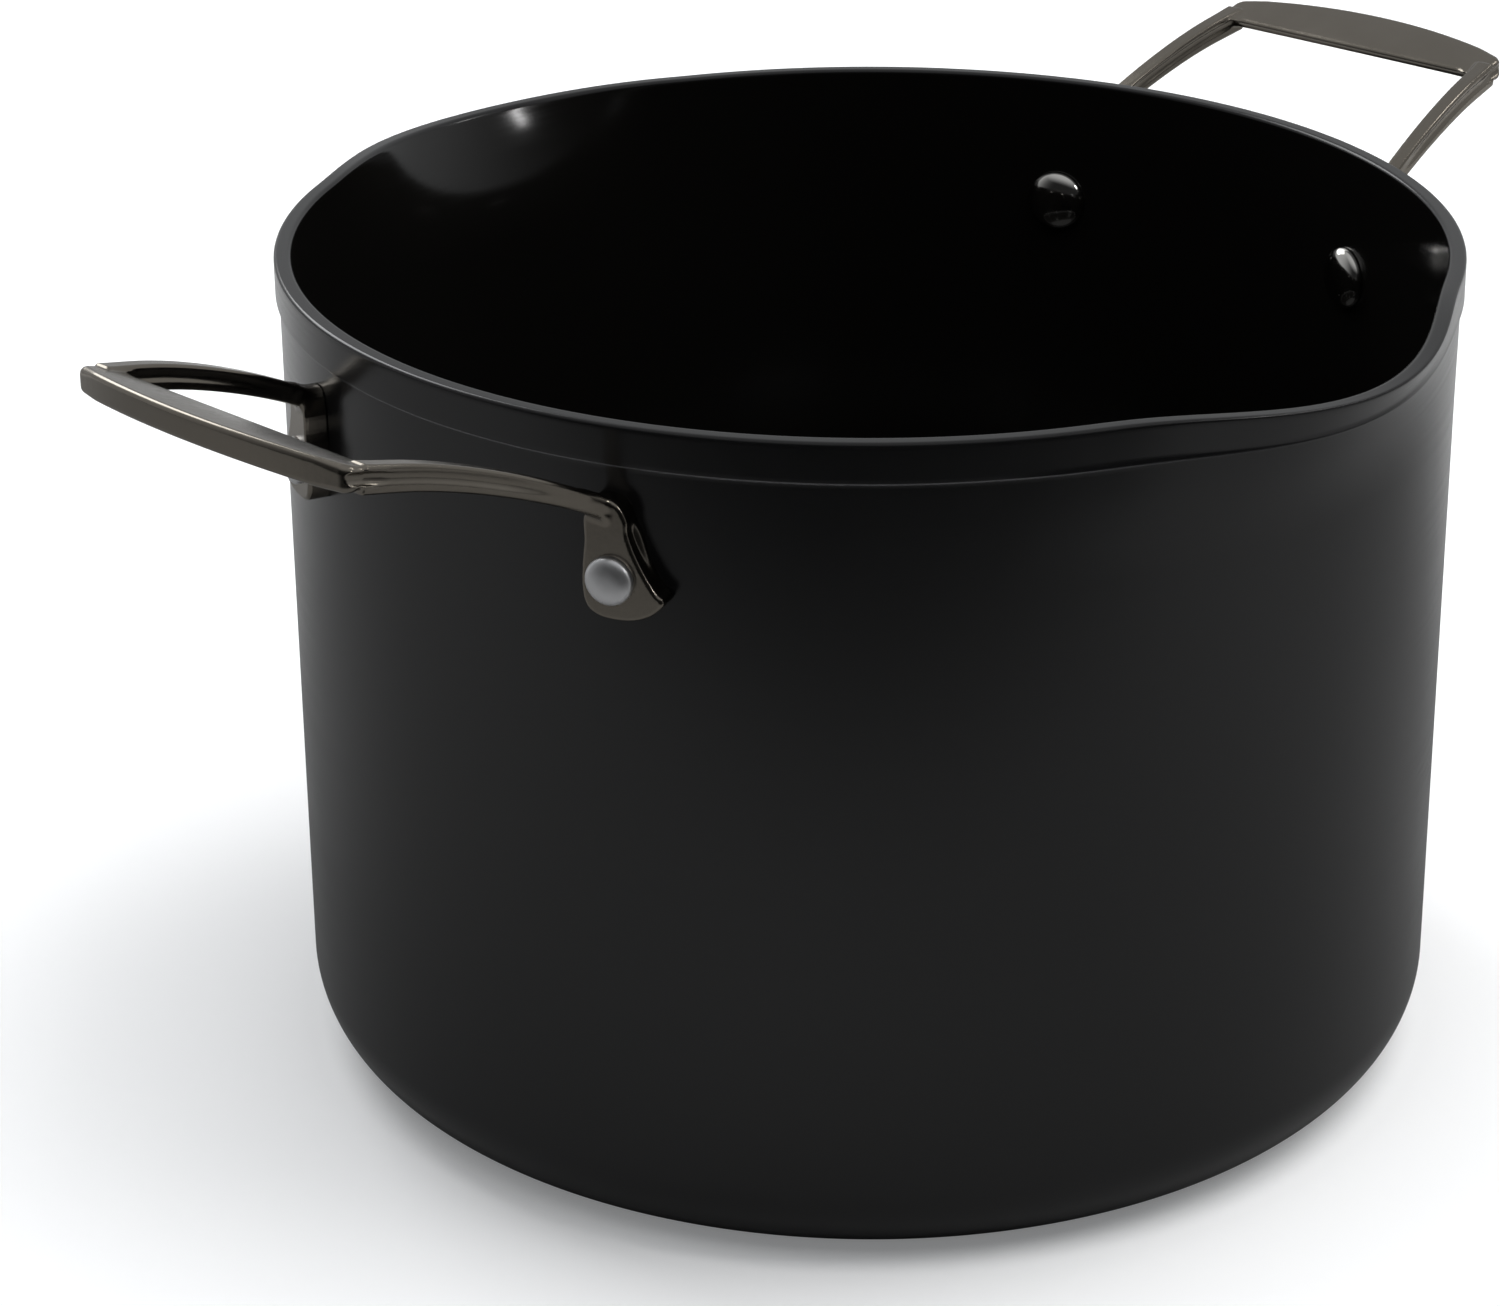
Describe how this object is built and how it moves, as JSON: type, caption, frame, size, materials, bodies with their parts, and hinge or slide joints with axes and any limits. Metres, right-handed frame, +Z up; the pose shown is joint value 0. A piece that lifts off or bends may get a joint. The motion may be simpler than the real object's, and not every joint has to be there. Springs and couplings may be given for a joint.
{
  "type": "stock pot",
  "caption": "Deep dark anodised stock pot with two cast fluted side handles on riveted teardrop pads and a pour spout on each side of the rim.",
  "frame": {"origin": "centre of the underside of the base, on the pot's axis", "axes": "+X through the middle of one handle, -X through the other; +Y and -Y through the two pour spouts; +Z up out of the pot's mouth"},
  "size_m": [0.361, 0.2638, 0.1858],
  "materials": {
    "anodised_aluminium": "dark charcoal hard-anodised aluminium with a smooth semi-gloss non-stick face",
    "gunmetal_steel": "dark grey polished cast stainless steel",
    "rivet_steel": "polished stainless steel"
  },
  "bodies": {
    "root": {"pot_body": "anodised_aluminium", "handle_left": "gunmetal_steel", "handle_right": "gunmetal_steel", "rivet_left_front": "rivet_steel", "rivet_left_back": "rivet_steel", "rivet_right_front": "rivet_steel", "rivet_right_back": "rivet_steel"}
  },
  "joints": []
}
